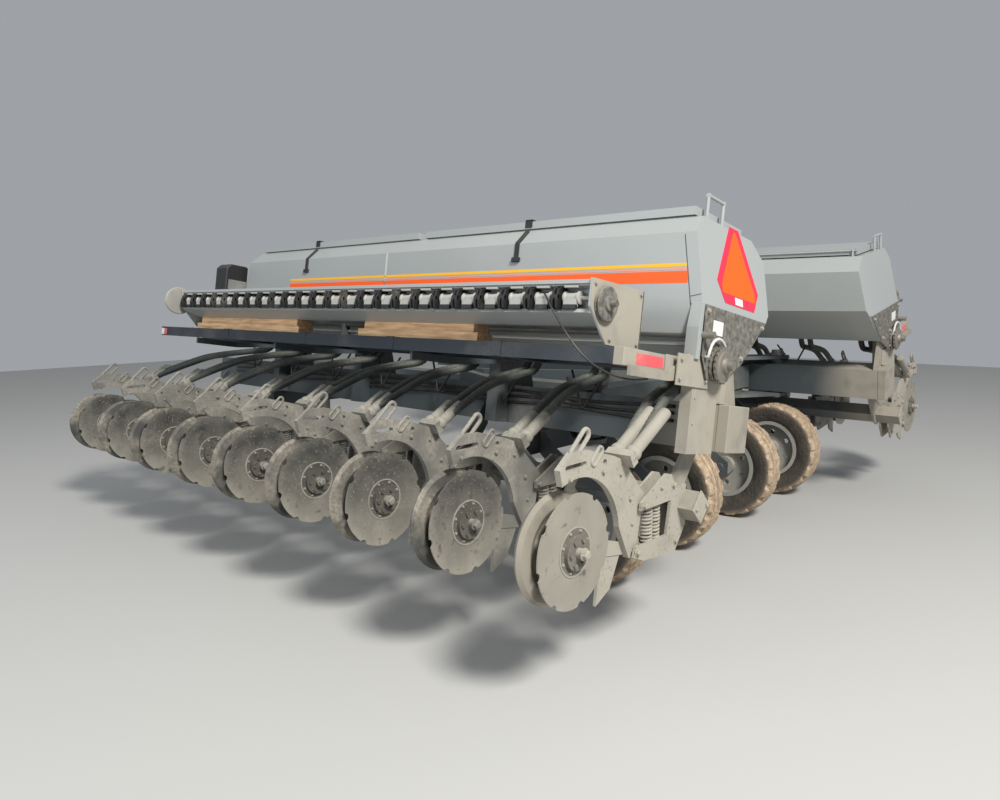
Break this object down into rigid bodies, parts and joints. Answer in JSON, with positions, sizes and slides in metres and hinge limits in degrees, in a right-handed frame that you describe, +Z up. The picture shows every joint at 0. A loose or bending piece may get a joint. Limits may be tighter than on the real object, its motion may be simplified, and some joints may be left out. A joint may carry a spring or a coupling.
{
  "type": "folding grain seed drill",
  "caption": "Folding grain seed drill in transport fold: rear wheels, drawbar, two hoppers with lids, disc openers on linkages, hoses and drive.",
  "frame": {"origin": "middle of the overall box, on the ground", "axes": "+Y forward to the hitch, +Z up, +X to the right of travel"},
  "size_m": [4.9736, 5.7337, 1.884],
  "materials": {
    "hopper_paint": "light warm grey gloss paint, lightly dusty",
    "frame_paint": "grey paint under pale dust",
    "deck_paint": "dark navy paint",
    "dusty_casting": "grey paint under thick pale dust",
    "disc_steel": "worn steel, dusty",
    "bare_steel": "dull steel",
    "gauge_rubber": "dusty black rubber",
    "hose_rubber": "dark ribbed rubber",
    "tyre_rubber": "black rubber with tan dried mud",
    "rim_paint": "grey paint",
    "feed_plastic": "pale moulded plastic, dusty",
    "timber": "raw pale boards"
  },
  "bodies": {
    "frame": {"carriage": "frame_paint", "tongue": "frame_paint", "hitch": "bare_steel", "jack_sleeve": "frame_paint", "fold_pins": "bare_steel"},
    "jack_leg": {"jack_leg": "bare_steel"},
    "wheel_1": {"tyre_1": "tyre_rubber", "rim_1": "rim_paint"},
    "wheel_2": {"tyre_2": "tyre_rubber", "rim_2": "rim_paint"},
    "wheel_3": {"tyre_3": "tyre_rubber", "rim_3": "rim_paint"},
    "wheel_4": {"tyre_4": "tyre_rubber", "rim_4": "rim_paint"},
    "left_wing": {"left_beam": "frame_paint", "left_hopper": "hopper_paint", "left_walkboard": "deck_paint", "left_seed_box": "hopper_paint", "left_feed_cups": "feed_plastic", "left_blocks": "timber", "left_toolbar": "frame_paint", "left_links": "dusty_casting", "left_castings": "dusty_casting", "left_discs": "disc_steel", "left_gauge_rims": "gauge_rubber", "left_seed_hoses": "hose_rubber", "left_drive": "bare_steel"},
    "left_lid_rear": {"left_lid_rear": "hopper_paint"},
    "left_lid_front": {"left_lid_front": "hopper_paint"},
    "right_wing": {"right_beam": "frame_paint", "right_hopper": "hopper_paint", "right_walkboard": "deck_paint", "right_seed_box": "hopper_paint", "right_feed_cups": "feed_plastic", "right_blocks": "timber", "right_toolbar": "frame_paint", "right_links": "dusty_casting", "right_castings": "dusty_casting", "right_discs": "disc_steel", "right_gauge_rims": "gauge_rubber", "right_seed_hoses": "hose_rubber", "right_drive": "bare_steel"},
    "right_lid_rear": {"right_lid_rear": "hopper_paint"},
    "right_lid_front": {"right_lid_front": "hopper_paint"}
  },
  "joints": [
    {"name": "jack_slide", "type": "slide", "parent": "frame", "child": "jack_leg", "axis": [0, 0, 1], "range_m": [0, 0.25]},
    {"name": "wheel_1_spin", "type": "hinge", "parent": "frame", "child": "wheel_1", "pos_m": [-1.18, -2.057, 0.34], "axis": [1, 0, 0], "continuous": true},
    {"name": "wheel_2_spin", "type": "hinge", "parent": "frame", "child": "wheel_2", "pos_m": [-0.42, -2.057, 0.34], "axis": [1, 0, 0], "continuous": true},
    {"name": "wheel_3_spin", "type": "hinge", "parent": "frame", "child": "wheel_3", "pos_m": [0.42, -2.057, 0.34], "axis": [1, 0, 0], "continuous": true},
    {"name": "wheel_4_spin", "type": "hinge", "parent": "frame", "child": "wheel_4", "pos_m": [1.18, -2.057, 0.34], "axis": [1, 0, 0], "continuous": true},
    {"name": "left_wing_fold", "type": "hinge", "parent": "frame", "child": "left_wing", "pos_m": [-1.2, -2.057, 0.885], "axis": [0, 0, 1], "range_deg": [0, 90]},
    {"name": "left_lid_rear_hinge", "type": "hinge", "parent": "left_wing", "child": "left_lid_rear", "pos_m": [-0.8759, -1.837, 1.749], "axis": [0, 1, 0], "range_deg": [0, 100]},
    {"name": "left_lid_front_hinge", "type": "hinge", "parent": "left_wing", "child": "left_lid_front", "pos_m": [-0.8759, -0.117, 1.749], "axis": [0, 1, 0], "range_deg": [0, 100]},
    {"name": "right_wing_fold", "type": "hinge", "parent": "frame", "child": "right_wing", "pos_m": [1.2, -2.057, 0.885], "axis": [0, 0, -1], "range_deg": [0, 90]},
    {"name": "right_lid_rear_hinge", "type": "hinge", "parent": "right_wing", "child": "right_lid_rear", "pos_m": [0.8759, -1.837, 1.749], "axis": [0, -1, 0], "range_deg": [0, 100]},
    {"name": "right_lid_front_hinge", "type": "hinge", "parent": "right_wing", "child": "right_lid_front", "pos_m": [0.8759, -0.117, 1.749], "axis": [0, -1, 0], "range_deg": [0, 100]}
  ]
}
